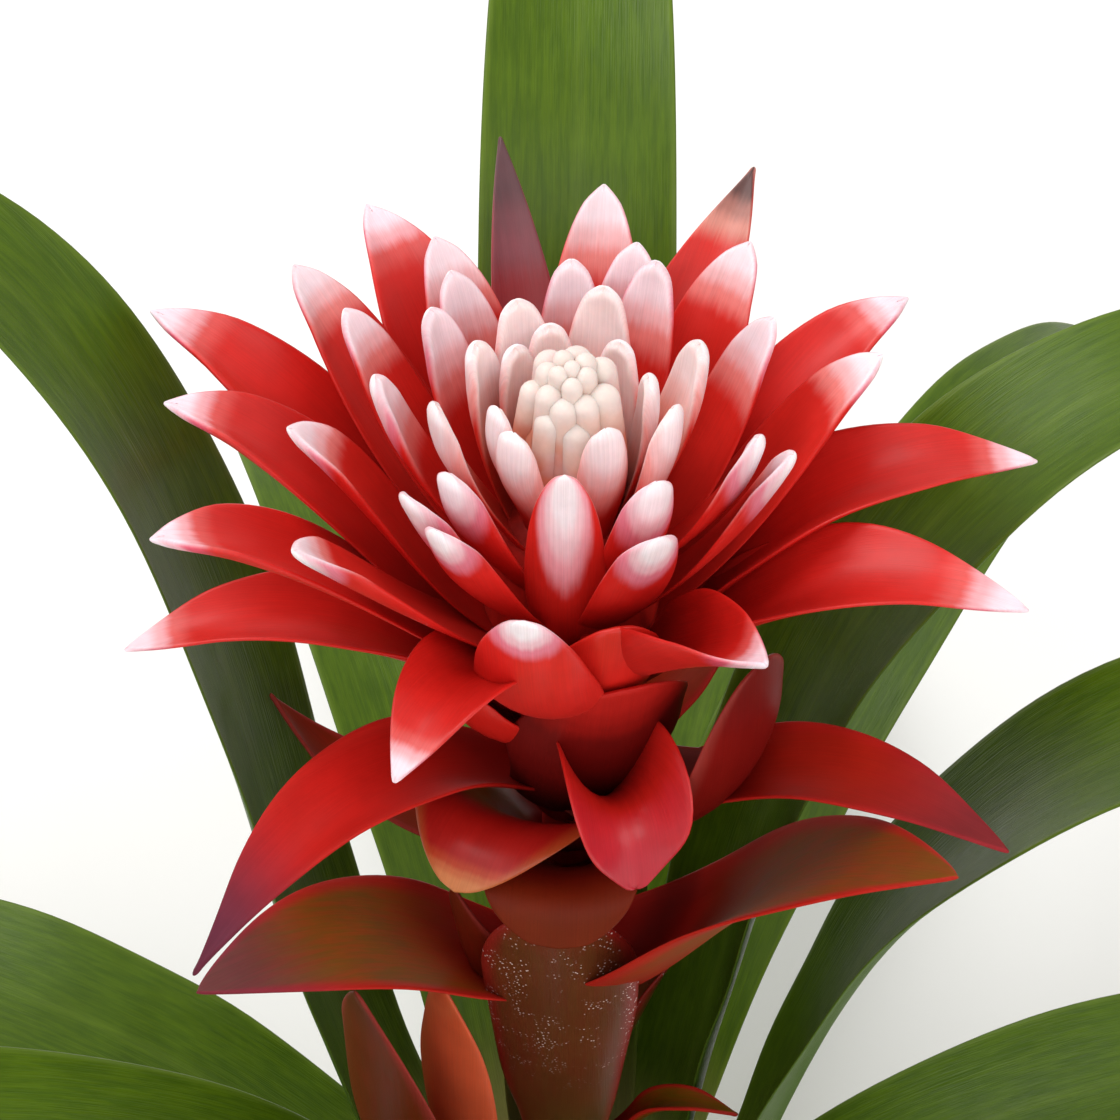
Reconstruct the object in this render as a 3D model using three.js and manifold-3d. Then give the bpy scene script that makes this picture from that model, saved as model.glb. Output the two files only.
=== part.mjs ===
// A guzmania in bloom, lifted out of its pot and cut flat at the base: a short stock with a rosette of strap
// leaves, a stalk clasped by bracts, and a flower head of red bracts with white tips round a cream cone.
// Millimetres and degrees, +Z up. The origin is the centre of the cut face that the plant stands on.
// An azimuth of 0 faces the front (-Y) and 90 the right (+X). A lean is measured from the upright.

import * as THREE from 'three';
import { mergeVertices } from 'three/addons/utils/BufferGeometryUtils.js';
import Module from 'manifold-3d';

const wasm = await Module();
wasm.setup();

const { degToRad, radToDeg, lerp, clamp, smoothstep } = THREE.MathUtils;

// Driving dimensions of the whole plant
const PLANT_HEIGHT = 320;
const GOLDEN_ANGLE = 137.5;
const CLEARANCE = 0.3;
const WIDEST_WRAP = 120;

// The stock is the short cone that the leaves grow from, the scape is the flower stalk above it
const STOCK_FOOT_RADIUS = 24;
const STOCK_TOP_RADIUS = 8;
const STOCK_HEIGHT = 36;
const SCAPE_RADIUS = 5.5;
const HEAD_DEPTH = 250;
const STEM_SIDES = 20;

// The strap leaves, from the innermost to the outermost
const LEAF_COUNT = 14;
const FIRST_LEAF_AZIMUTH = 179;
const LEAF_THICKNESS = 0.8;
const LEAF_HALF_WIDTH = 21;
const LEAF_SHEATH_HALF_ANGLE = 50;
const LEAF_STEPS = [0, 0.05, 0.11, 0.18, 0.26, 0.35, 0.45, 0.55, 0.65, 0.75, 0.85, 0.94, 1];

// Leaves that grew a little apart from the rule, by their order from the inside
const LEAF_HABITS = {
  0: { tipLean: 127, power: 3, length: 410 },
  1: { sway: 8, rootLean: 22, tipLean: 128, power: 1.7, length: 360 },
  2: { sway: 13, tipLean: 145, power: 4.5, bow: 6, length: 345 },
  3: { sway: 27, rootLean: 31, tipLean: 105, power: 9, bow: 24, length: 365 },
  7: { sway: 14, tipLean: 120, power: 2.6, bow: 18, length: 370 },
  10: { sway: -18 },
};

// Heights in the flower head are measured from the tip of the plant, so they are mostly below zero
const CONE_RADIUS = 10.5;
const CONE_ROOT = -26;

// Buds of the cream cone: azimuth, reach from the axis, width, height of the top
const CONE_BUDS = [
  [0, 0.6, 3, 2.6], [-60, 3, 3.4, 2], [60, 3.2, 3.6, 1.8], [0, 3.6, 3.8, 1], [130, 3.4, 4, 2],
  [-150, 3.2, 3.8, 2.2], [-100, 4.6, 4.2, 1], [-50, 5.6, 4.6, -0.6], [-15, 6.2, 4.8, -1.8],
  [25, 6, 4.8, -1.4], [62, 6.8, 5.4, -0.8], [172, 6, 5.2, 0.6], [120, 6.4, 5.2, 0.2],
  [-140, 6.6, 5.2, 0.4], [-85, 7.4, 4.8, -2], [-35, 7.4, 5, -4.5], [5, 7.6, 5.4, -5.5],
];

// Bracts of the head in tiers, from the cone outwards. Each tip is an azimuth and a reach from the axis.
const HEAD_TIERS = [
  {
    rootHeight: -39, tipHeight: -2, width: 10.5, rootLean: 8, tipLean: -12, roundness: 0.4, across: 2,
    tips: [[25, 13], [95, 13], [140, 13], [195, 15], [228, 13], [299, 14], [323, 16]],
  },
  {
    rootHeight: -44, tipHeight: 0, width: 13, rootLean: 20, tipLean: -2, roundness: 0.42, across: 2,
    tips: [[62, 19], [109, 23], [166, 23], [207, 21], [246, 18], [290, 24]],
  },
  {
    rootHeight: -50, tipHeight: -1, width: 13, rootLean: 32, tipLean: 8, roundness: 0.45, across: 2,
    tips: [[28, 29], [64, 34], [154, 34], [180, 31], [234, 30], [270, 33], [320, 31]],
  },
  {
    rootHeight: -57, tipHeight: -3, width: 15, rootLean: 40, tipLean: 20, roundness: 0.5, across: 2,
    tips: [[21, 39], [65, 40], [117, 39], [163, 40], [215, 37], [243, 44], [315, 38], [328, 41]],
  },
  {
    rootHeight: -64, tipHeight: -5, width: 19, rootLean: 46, tipLean: 38, roundness: 0.6, across: 2,
    tips: [[101, 54], [142, 52], [174, 58], [210, 49], [235, 60], [280, 48], [310, 58]],
  },
  {
    rootHeight: -71, tipHeight: -8, width: 23, rootLean: 46, tipLean: 68, roundness: 0.8, across: 2,
    tips: [[116, 66], [214, 67], [251, 78], [269, 69], [295, 75]],
  },
];

// The large bracts under the tiers and down the stalk arch out and droop, each in its own way.
// Roots and tips are radius, height.
const LARGE_BRACTS = [
  {
    azimuth: 190, root: [5, -68], tip: [76, -7], rootLean: 46, tipLean: 50,
    width: 14, lift: 2, across: 2,
  },
  {
    azimuth: 153, root: [5, -71], tip: [75, -8], rootLean: 46, tipLean: 58,
    width: 22, pull: 0.4, roundness: 1, across: 3,
  },
  { azimuth: 95, root: [5, -73], tip: [82, -27], rootLean: 46, tipLean: 100, width: 24 },
  { azimuth: 71, root: [5, -76], tip: [81, -30], rootLean: 48, tipLean: 98, width: 25 },
  { azimuth: 30, root: [5, -68], tip: [61, -15], rootLean: 52, tipLean: 52, width: 24, lift: 9 },
  { azimuth: -28, root: [5, -74], tip: [62, -41], rootLean: 46, tipLean: 118, width: 22 },
  {
    azimuth: -11, root: [6, -68], tip: [41, -18], rootLean: 70, tipLean: 6,
    width: 25, lift: 3, roundness: 0.5, across: 3,
  },
  {
    azimuth: 13, root: [7, -68], tip: [33, -28], rootLean: 66, tipLean: 10,
    width: 25, lift: 3, roundness: 0.5, across: 3,
  },
  {
    azimuth: -3, root: [7, -60], tip: [24, -1], rootLean: 44, tipLean: -6,
    width: 15, lift: 2, pull: 0.4, roundness: 0.5, belly: 0.6, across: 3,
  },
  {
    azimuth: 51, root: [6, -98], tip: [41, -44], rootLean: 84, tipLean: -4,
    width: 32, lift: 2, pull: 0.5, roundness: 0.45, belly: 0.6, across: 3,
  },
  {
    azimuth: 16, root: [8, -104], tip: [31, -46], rootLean: 40, tipLean: 16,
    width: 40, lift: 2, pull: 0.4, roundness: 0.5, belly: 0.6, across: 3,
  },
  {
    azimuth: -44, root: [7, -82], tip: [33, -48], rootLean: 66, tipLean: 16,
    width: 24, lift: 3, roundness: 0.6, across: 3,
  },
  {
    azimuth: 15, root: [4, -112], tip: [44, -84], rootLean: 34, tipLean: 168,
    width: 25, lift: 13, pull: 0.6, roundness: 0.6, belly: 0.45,
  },
  {
    azimuth: -27, root: [4, -120], tip: [46, -87], rootLean: 44, tipLean: 135,
    width: 40, lift: 1, pull: 0.5, roundness: 0.6,
  },
  { azimuth: -3, root: [5, -126], tip: [46, -97], rootLean: 42, tipLean: 160, width: 34, roundness: 0.4 },
  {
    azimuth: -51, root: [5, -100], tip: [86, -94], rootLean: 46, tipLean: 134,
    width: 23, pull: 0.56, roundness: 1.05, belly: 0.35,
  },
  {
    azimuth: 62, root: [5, -109], tip: [87, -76], rootLean: 56, tipLean: 108,
    width: 22, lift: 3, pull: 0.48, belly: 0.45,
  },
  { azimuth: 132, root: [5, -79], tip: [74, -44], rootLean: 50, tipLean: 108, width: 22, across: 3 },
  { azimuth: 162, root: [5, -84], tip: [66, -38], rootLean: 52, tipLean: 92, width: 21, across: 2 },
  { azimuth: 203, root: [5, -80], tip: [70, -38], rootLean: 50, tipLean: 96, width: 21, across: 2 },
  { azimuth: 232, root: [5, -85], tip: [72, -56], rootLean: 52, tipLean: 114, width: 22, across: 3 },
  { azimuth: 282, root: [5, -82], tip: [80, -50], rootLean: 50, tipLean: 106, width: 21, across: 3 },
  { azimuth: 208, root: [4, -108], tip: [42, -88], rootLean: 42, tipLean: 96, width: 22, across: 2 },
  { azimuth: 130, root: [4, -116], tip: [40, -92], rootLean: 42, tipLean: 90, width: 22, across: 2 },
  {
    azimuth: -57, root: [4, -169], tip: [82, -112], rootLean: 44, tipLean: 92,
    width: 38, lift: 1, pull: 0.4, belly: 0.4,
  },
  {
    azimuth: 47, root: [4, -168], tip: [88, -59], rootLean: 44, tipLean: 60,
    width: 50, lift: 1, pull: 0.4, rootShare: 0.9, belly: 0.3,
  },
  { azimuth: -48, root: [5, -186], tip: [30, -112], rootLean: 30, tipLean: 8, width: 22, across: 2 },
  {
    azimuth: 254, root: [4, -130], tip: [61, -98], rootLean: 80, tipLean: 30,
    width: 14, lift: 2, roundness: 1.1, across: 2,
  },
  { azimuth: 140, root: [4, -156], tip: [32, -122], rootLean: 24, tipLean: 60, width: 23, across: 2 },
  {
    azimuth: -4, root: [5, -240], tip: [35, -102], rootLean: 20, tipLean: 6,
    width: 32, lift: 1, roundness: 0.45, rootShare: 0.45, belly: 0.85,
  },
  {
    azimuth: -42, root: [5, -226], tip: [38, -130], rootLean: 70, tipLean: 6,
    width: 23, lift: 2, rootShare: 0.8, belly: 0.6, across: 3,
  },
  {
    azimuth: -49, root: [5, -238], tip: [54, -124], rootLean: 66, tipLean: 8,
    width: 40, lift: 2, pull: 0.5, rootShare: 0.6, belly: 0.6,
  },
  {
    azimuth: 62, root: [5, -226], tip: [40, -190], rootLean: 40, tipLean: 84,
    width: 9, lift: 2, across: 2,
  },
  { azimuth: 205, root: [5, -196], tip: [30, -146], rootLean: 26, tipLean: 30, width: 24, across: 2 },
  { azimuth: 110, root: [5, -206], tip: [30, -152], rootLean: 26, tipLean: 34, width: 24, across: 2 },
];

// The lowest bracts clasp the scape loosely, from the top down
const STALK_BRACTS = [
  { azimuth: 170, rootHeight: -252, tip: [15, -224], rootLean: 14, tipLean: 18, width: 15 },
  { azimuth: 35, rootHeight: -258, tip: [15, -229], rootLean: 14, tipLean: 18, width: 15 },
  { azimuth: 255, rootHeight: -264, tip: [15, -234], rootLean: 14, tipLean: 18, width: 15 },
  { azimuth: 122, rootHeight: -270, tip: [15, -240], rootLean: 14, tipLean: 16, width: 15 },
];

// Finishes
const FINISHES = {
  stem: { color: 0x8c9a3f, roughness: 0.6, metalness: 0 },
  leaf: { color: 0x5a7a22, roughness: 0.42, metalness: 0 },
  stalkBract: { color: 0x9c2f22, roughness: 0.42, metalness: 0 },
  redBract: { color: 0xd4281f, roughness: 0.36, metalness: 0 },
  creamCone: { color: 0xf3e7dd, roughness: 0.55, metalness: 0 },
};

// A point at an azimuth round the axis
function around(azimuth, radius, height) {
  const angle = degToRad(azimuth);
  return new THREE.Vector3(radius * Math.sin(angle), -radius * Math.cos(angle), height);
}

// Midline of a bract in its upright plane: a cubic curve from root to tip.
// It leaves the root at one lean and arrives at the tip at another.
function curvedMidline({ root, tip, rootLean, tipLean, rootPull = 0.4, tipPull = 0.35 }) {
  const start = new THREE.Vector2(...root);
  const end = new THREE.Vector2(...tip);
  const span = start.distanceTo(end);
  const along = (lean) => new THREE.Vector2(Math.sin(degToRad(lean)), Math.cos(degToRad(lean)));
  const curve = new THREE.CubicBezierCurve(
    start,
    start.clone().addScaledVector(along(rootLean), span * rootPull),
    end.clone().addScaledVector(along(tipLean), -span * tipPull),
    end,
  );
  return (t) => {
    const point = curve.getPoint(t);
    const way = curve.getTangent(t);
    return { radius: point.x, height: point.y, lean: Math.atan2(way.x, way.y) };
  };
}

// Midline of a strap leaf: its lean grows along its length by a power, so it rises first and arches later.
// A bow straightens its middle.
function archedMidline({ root, length, rootLean, tipLean, power, bow }) {
  const pieces = 80;
  const points = [{ radius: root[0], height: root[1], lean: degToRad(rootLean) }];
  for (let i = 1; i <= pieces; i += 1) {
    const before = points[i - 1];
    const t = (i - 0.5) / pieces;
    const lean = degToRad(lerp(rootLean, tipLean, t ** power) - bow * Math.sin(Math.PI * t));
    points.push({
      radius: before.radius + (Math.sin(lean) * length) / pieces,
      height: before.height + (Math.cos(lean) * length) / pieces,
      lean,
    });
  }
  return (t) => {
    const place = clamp(t, 0, 1) * pieces;
    const low = Math.min(Math.floor(place), pieces - 1);
    const part = place - low;
    return {
      radius: lerp(points[low].radius, points[low + 1].radius, part),
      height: lerp(points[low].height, points[low + 1].height, part),
      lean: lerp(points[low].lean, points[low + 1].lean, part),
    };
  };
}

// Middle sheet of a blade: its width wraps round the plant's axis, at most WIDEST_WRAP to each side, and its
// edges stand up from the midline. t runs from 0 at the root to 1 at the tip, u from -1 to 1 across.
function bladeSheet({ azimuth, midline, halfWidth, lift }) {
  return (t, u) => {
    const { radius, height, lean } = midline(t);
    const turn = azimuth + u * Math.min(radToDeg(halfWidth(t) / radius), WIDEST_WRAP);
    const raise = lift(t) * u * u;
    return around(turn, radius - raise * Math.cos(lean), height + raise * Math.sin(lean));
  };
}

// Closed solid round a sheet, as a grid of points on both faces, with a rim
function bladeGeometry(sheet, steps, across, thickness) {
  const nudge = 0.01;
  const outer = [];
  const inner = [];
  for (const t of steps) {
    for (let j = 0; j <= across; j += 1) {
      const u = (2 * j) / across - 1;
      const point = sheet(t, u);
      const alongWay = sheet(Math.min(t + nudge, 1), u).sub(sheet(Math.max(t - nudge, 0), u));
      const acrossWay = sheet(t, u + nudge).sub(sheet(t, u - nudge));
      const normal = alongWay.cross(acrossWay).normalize();
      outer.push(point.clone().addScaledVector(normal, -thickness(t) / 2));
      inner.push(point.clone().addScaledVector(normal, thickness(t) / 2));
    }
  }
  const row = across + 1;
  const rows = steps.length;
  const half = outer.length;
  const index = [];
  const quad = (a, b, c, d) => index.push(a, b, c, a, c, d);
  for (let i = 0; i + 1 < rows; i += 1) {
    for (let j = 0; j < across; j += 1) {
      const a = i * row + j;
      index.push(a, a + 1, a + row, a + 1, a + row + 1, a + row);
      index.push(half + a, half + a + row, half + a + 1, half + a + 1, half + a + row, half + a + row + 1);
    }
    quad(i * row, (i + 1) * row, half + (i + 1) * row, half + i * row);
    const edge = i * row + across;
    quad(edge, half + edge, half + edge + row, edge + row);
  }
  for (let j = 0; j < across; j += 1) {
    quad(j, half + j, half + j + 1, j + 1);
    const last = (rows - 1) * row + j;
    quad(last, last + 1, half + last + 1, half + last);
  }
  const geometry = new THREE.BufferGeometry();
  const points = [...outer, ...inner];
  geometry.setAttribute('position', new THREE.Float32BufferAttribute(points.flatMap((p) => p.toArray()), 3));
  geometry.setIndex(index);
  return geometry;
}

// Half width of a bract along its length: a clasping root, a belly, and a tip that is round or drawn out
function bractHalfWidth({ width, rootShare = 0.75, belly = 0.55, roundness = 0.5, tipWidth = 0.8 }) {
  return (t) => {
    if (t < belly) {
      return (width / 2) * lerp(rootShare, 1, smoothstep(t, 0, belly));
    }
    const share = (t - belly) / (1 - belly);
    return Math.max((width / 2) * (1 - share * share) ** roundness, tipWidth / 2);
  };
}

function turned(profile, sides) {
  const geometry = new THREE.LatheGeometry(profile.map(([r, z]) => new THREE.Vector2(r, z)), sides);
  geometry.rotateX(Math.PI / 2);
  return geometry;
}

// Joining and cutting of closed meshes
function asSolid(geometry) {
  const bare = geometry.clone();
  bare.deleteAttribute('normal');
  bare.deleteAttribute('uv');
  const merged = mergeVertices(bare);
  return new wasm.Manifold(new wasm.Mesh({
    numProp: 3,
    vertProperties: new Float32Array(merged.attributes.position.array),
    triVerts: new Uint32Array(merged.index.array),
  }));
}

function joined(geometries) {
  return geometries.map(asSolid).reduce((whole, next) => whole.add(next));
}

// The largest of the surfaces of a solid: what is left out is loose scraps and the walls of sealed hollows
function mainBody(manifold) {
  return manifold.decompose().reduce((largest, next) => (next.volume() > largest.volume() ? next : largest));
}

function asGeometry(manifold) {
  const { vertProperties, triVerts } = mainBody(manifold).getMesh();
  const geometry = new THREE.BufferGeometry();
  geometry.setAttribute('position', new THREE.Float32BufferAttribute(vertProperties, 3));
  geometry.setIndex([...triVerts]);
  return geometry;
}

const plant = new THREE.Group();

function addPiece(name, geometry, finish) {
  const mesh = new THREE.Mesh(geometry, new THREE.MeshStandardMaterial(FINISHES[finish]));
  mesh.name = name;
  plant.add(mesh);
}

// Stock and scape in one: the stem that everything grows from, flat at the cut
function stem() {
  const top = PLANT_HEIGHT - HEAD_DEPTH - CLEARANCE;
  return turned([
    [0, 0],
    [STOCK_FOOT_RADIUS, 0],
    [STOCK_TOP_RADIUS, STOCK_HEIGHT],
    [SCAPE_RADIUS, STOCK_HEIGHT + 12],
    [SCAPE_RADIUS, top],
    [0, top],
  ], STEM_SIDES);
}

// One strap leaf. Its place between the innermost, 0, and the outermost, 1, sets its root, reach and arch.
function leaf(order) {
  const place = order / (LEAF_COUNT - 1);
  const rootHeight = lerp(31, 3, place);
  const stockRadius = lerp(STOCK_FOOT_RADIUS, STOCK_TOP_RADIUS, rootHeight / STOCK_HEIGHT);
  const ruled = FIRST_LEAF_AZIMUTH + order * GOLDEN_ANGLE;
  const habit = {
    sway: 0,
    length: lerp(400, 290, place),
    tipLean: 142,
    power: lerp(1.5, 0.95, place),
    bow: 0,
    ...LEAF_HABITS[order],
  };
  const azimuth = ruled + habit.sway;
  const root = [stockRadius + LEAF_THICKNESS / 2 + 2 * CLEARANCE, rootHeight];
  const midline = archedMidline({ root, rootLean: lerp(9, 33, place), ...habit });
  const sheath = root[0] * degToRad(LEAF_SHEATH_HALF_ANGLE);
  const halfWidth = (t) => {
    const blade = LEAF_HALF_WIDTH * lerp(0.8, 1, smoothstep(t, 0.1, 0.5)) * (1 - t ** 7) ** 0.8;
    return Math.max(lerp(sheath, blade, smoothstep(t, 0, 0.16)), 0.5);
  };
  const lift = (t) => 4 * smoothstep(t, 0.1, 0.35) * (1 - 0.5 * t);
  const sheet = bladeSheet({ azimuth, midline, halfWidth, lift });
  return bladeGeometry(sheet, LEAF_STEPS, 4, () => LEAF_THICKNESS);
}

// The core that the head's bracts are rooted in, with the upper scape, hollowed where the cream cone sits
function headCore() {
  return turned([
    [0, -HEAD_DEPTH],
    [SCAPE_RADIUS, -HEAD_DEPTH],
    [SCAPE_RADIUS, -112],
    [9, -92],
    [15, -70],
    [16, -50],
    [13, -34],
    [0, -29],
  ], 12);
}

// Envelope of the cream cone, widened by a margin
function coneEnvelope(margin) {
  return turned([
    [0, CONE_ROOT - margin],
    [CONE_RADIUS + margin, CONE_ROOT - margin],
    [CONE_RADIUS + margin, -6],
    [CONE_RADIUS * 0.8 + margin, 0],
    [CONE_RADIUS * 0.3 + margin, 4],
    [0, 4 + margin],
  ], 14);
}

// One bract of a tier of the head: hooded, thicker at its tip, with its root sunk in the core
function tierBract(tier, [azimuth, reach]) {
  const { rootHeight, tipHeight, rootLean, tipLean, width, roundness, across } = tier;
  const midline = curvedMidline({ root: [7, rootHeight], tip: [reach, tipHeight], rootLean, tipLean });
  const halfWidth = bractHalfWidth({ width, rootShare: 0.8, belly: 0.55, roundness, tipWidth: 2 });
  const lift = (t) => (width / 7) * smoothstep(t, 0.3, 1);
  const sheet = bladeSheet({ azimuth, midline, halfWidth, lift });
  return bladeGeometry(sheet, [0, 0.4, 0.7, 0.9, 1], across, (t) => lerp(1, 1.5, t));
}

// One of the large bracts: channelled, drawn out to a point
function largeBract({
  azimuth, root, tip, rootLean, tipLean, width, lift: depth = 4, pull = 0.45, roundness = 0.85,
  rootShare = 0.85, belly = 0.5, across = 4,
}) {
  const midline = curvedMidline({ root, tip, rootLean, tipLean, rootPull: pull, tipPull: pull });
  const halfWidth = bractHalfWidth({ width, rootShare, belly, roundness, tipWidth: 1.2 });
  const lift = (t) => depth * smoothstep(t, 0.05, 0.4) * (1 - 0.6 * smoothstep(t, 0.6, 1));
  const sheet = bladeSheet({ azimuth, midline, halfWidth, lift });
  return bladeGeometry(sheet, [0, 0.22, 0.42, 0.6, 0.77, 0.92, 1], across, () => 1);
}

// One bract of the stalk, with its root against the scape
function stalkBract({ rootHeight, ...shape }) {
  return largeBract({ root: [SCAPE_RADIUS + 3.5 * CLEARANCE, rootHeight], rootShare: 0.6, ...shape });
}

// One bud of the cream cone, leaning in
function bud([azimuth, reach, width, top]) {
  const length = 6 + 0.4 * width;
  const shape = new THREE.CapsuleGeometry(width / 2, 2 * length - width, 2, 6);
  shape.rotateX(Math.PI / 2);
  shape.rotateX(degToRad(-1.2 * reach));
  shape.translate(0, -reach, top - length);
  shape.rotateZ(degToRad(azimuth));
  return shape;
}

function creamCone() {
  const heart = turned([[0, CONE_ROOT], [9.5, CONE_ROOT], [8.5, -12], [4, -3], [0, -1]], 8);
  return joined([heart, ...CONE_BUDS.map(bud)]).intersect(asSolid(coneEnvelope(0)));
}

// Everything red above the cut of the scape: the core, the tiers of the head and the large bracts
function inflorescence() {
  const tiers = HEAD_TIERS.flatMap((tier) => tier.tips.map((tip) => tierBract(tier, tip)));
  const large = LARGE_BRACTS.map(largeBract);
  return joined([headCore(), ...tiers, ...large]).subtract(asSolid(coneEnvelope(CLEARANCE)));
}

const atHeadHeight = (geometry) => geometry.translate(0, 0, PLANT_HEIGHT);
const numbered = (name, order) => `${name}_${String(order + 1).padStart(2, '0')}`;

addPiece('stem', stem(), 'stem');
for (let order = 0; order < LEAF_COUNT; order += 1) {
  addPiece(numbered('leaf', order), leaf(order), 'leaf');
}
STALK_BRACTS.forEach((bract, order) => {
  addPiece(numbered('stalk_bract', order), atHeadHeight(stalkBract(bract)), 'stalkBract');
});
addPiece('head_bracts', atHeadHeight(asGeometry(inflorescence())), 'redBract');
addPiece('head_cone', atHeadHeight(asGeometry(creamCone())), 'creamCone');

export default plant;
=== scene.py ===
"""A guzmania in bloom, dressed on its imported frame.

The strap leaves, the bracts of the stalk and of the flower head, and the cream centre cone are modelled anew
as smooth blades and buds on the same midlines as the frame's solids, and painted by where each point lies.
Sizes are in millimetres and angles in degrees, and become metres and radians where a mesh is made. The
studio is in metres. An azimuth of 0 faces the front (-Y) and 90 the right (+X). A lean is measured from the
upright.
"""

import logging
import math
from dataclasses import dataclass, field
from enum import Enum
from typing import Callable, Iterable, Sequence

import bmesh
import bpy
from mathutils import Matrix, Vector


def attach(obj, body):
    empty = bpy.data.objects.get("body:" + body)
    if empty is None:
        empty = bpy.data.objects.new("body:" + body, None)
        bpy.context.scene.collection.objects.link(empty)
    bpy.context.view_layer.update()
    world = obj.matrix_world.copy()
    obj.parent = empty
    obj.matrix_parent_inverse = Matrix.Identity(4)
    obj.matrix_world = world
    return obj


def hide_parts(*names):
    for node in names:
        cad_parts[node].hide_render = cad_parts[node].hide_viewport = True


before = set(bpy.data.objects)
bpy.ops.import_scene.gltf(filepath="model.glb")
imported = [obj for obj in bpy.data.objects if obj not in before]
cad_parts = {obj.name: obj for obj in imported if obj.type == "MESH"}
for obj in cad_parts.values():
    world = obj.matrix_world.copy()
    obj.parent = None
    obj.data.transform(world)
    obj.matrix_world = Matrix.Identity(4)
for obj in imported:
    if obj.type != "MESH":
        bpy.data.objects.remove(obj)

logging.basicConfig(level=logging.INFO, format="%(message)s")
LOG = logging.getLogger("guzmania")

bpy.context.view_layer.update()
MILLIMETRE = 0.001
MERGE_DISTANCE = 2e-6
# The head's heights are measured from the tip of the cone
CONE_TOP = 320.0
SCAPE_RADIUS = 5.5
# Where the scape's piece ends and the head's core begins
SCAPE_CUT = 70.0
CLEARANCE = 0.3
GOLDEN_ANGLE = 137.5
WIDEST_WRAP = 120.0
# Shares of a blade's length: the rounding of its root, and the step that its slope is measured over
ROOT_ROUND = 0.01
SLOPE_STEP = 0.01
ROW_CROWDING = 1.1
LENGTH_STEPS = 24
BODY = "root"
Pair = tuple[float, float]
Colour = tuple[float, float, float]
Profile = Callable[[float], float]
Mesh = bmesh.types.BMesh
Socket = bpy.types.NodeSocket
Sockets = tuple[Socket, Socket, Socket]


def lerp(start: float, end: float, share: float) -> float:
    """Returns the value at a share of the way from start to end."""
    return start + (end - start) * share


def smoothstep(value: float, low: float, high: float) -> float:
    """Returns 0 below low, 1 above high, and an eased value between."""
    share = min(max((value - low) / (high - low), 0.0), 1.0)
    return share * share * (3.0 - 2.0 * share)


def around(azimuth: float, radius: float, height: float) -> Vector:
    """Returns the point at an azimuth round the plant's axis."""
    angle = math.radians(azimuth)
    return Vector((radius * math.sin(angle), -radius * math.cos(angle), height))


def srgb(code: str) -> Colour:
    """Returns the linear colour of a six-digit web code."""
    def linear(value: float) -> float:
        return value / 12.92 if value <= 0.04045 else ((value + 0.055) / 1.055) ** 2.4

    return tuple(linear(int(code[place:place + 2], 16) / 255) for place in (0, 2, 4))


class Slot(Enum):
    """Material slot names."""

    STEM = "stem"
    LEAF = "leaf"
    STALK_BRACT = "stalk_bract"
    RED_BRACT = "red_bract"
    CREAM_CONE = "cream_cone"


# Shapes


@dataclass(frozen=True)
class Station:
    """A point of a midline: its radius and height in millimetres and its lean in radians."""

    radius: float
    height: float
    lean: float


@dataclass(frozen=True)
class BractMidline:
    """A cubic curve from root to tip, each a radius and a height, that leaves and arrives at two leans."""

    root: Pair
    tip: Pair
    root_lean: float
    tip_lean: float
    root_pull: float = 0.4
    tip_pull: float = 0.35

    def at(self, t: float) -> Station:
        """Finds the midline at a share of its curve.

        Args:
            t: 0 at the root and 1 at the tip.

        Returns:
            The midline's station there.
        """
        start, end = Vector(self.root), Vector(self.tip)
        span = (end - start).length
        out, back = math.radians(self.root_lean), math.radians(self.tip_lean)
        first = start + Vector((math.sin(out), math.cos(out))) * span * self.root_pull
        last = end - Vector((math.sin(back), math.cos(back))) * span * self.tip_pull
        s = 1.0 - t
        point = start * s**3 + first * 3 * s * s * t + last * 3 * s * t * t + end * t**3
        way = (first - start) * s * s + (last - first) * 2 * s * t + (end - last) * t * t
        return Station(point.x, point.y, math.atan2(way.x, way.y))


@dataclass
class LeafMidline:
    """A curve whose lean grows by a power of its length, so that it arches late. A bow straightens it."""

    root: Pair
    length: float
    root_lean: float
    tip_lean: float
    power: float
    bow: float
    pieces: int = 80
    stations: list[Station] = field(init=False)

    def __post_init__(self) -> None:
        """Walks the curve from its root."""
        step = self.length / self.pieces
        self.stations = [Station(*self.root, math.radians(self.root_lean))]
        for i in range(1, self.pieces + 1):
            t = (i - 0.5) / self.pieces
            bowed = self.bow * math.sin(math.pi * t)
            lean = math.radians(lerp(self.root_lean, self.tip_lean, t**self.power) - bowed)
            before = self.stations[-1]
            radius, height = before.radius + math.sin(lean) * step, before.height + math.cos(lean) * step
            self.stations.append(Station(radius, height, lean))

    def at(self, t: float) -> Station:
        """Finds the midline at a share of its length.

        Args:
            t: 0 at the root and 1 at the tip.

        Returns:
            The midline's station there.
        """
        place = min(max(t, 0.0), 1.0) * self.pieces
        low = min(int(place), self.pieces - 1)
        a, b = self.stations[low], self.stations[low + 1]
        part = place - low
        radius, height = lerp(a.radius, b.radius, part), lerp(a.height, b.height, part)
        return Station(radius, height, lerp(a.lean, b.lean, part))


@dataclass(frozen=True)
class Marks:
    """What a blade's paint goes by: how far its pale tip reaches, and shares of its other tints."""

    pale_reach: float = 10.0
    olive: float = 0.0
    dusk: float = 0.0
    seed: float = 0.0


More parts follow.
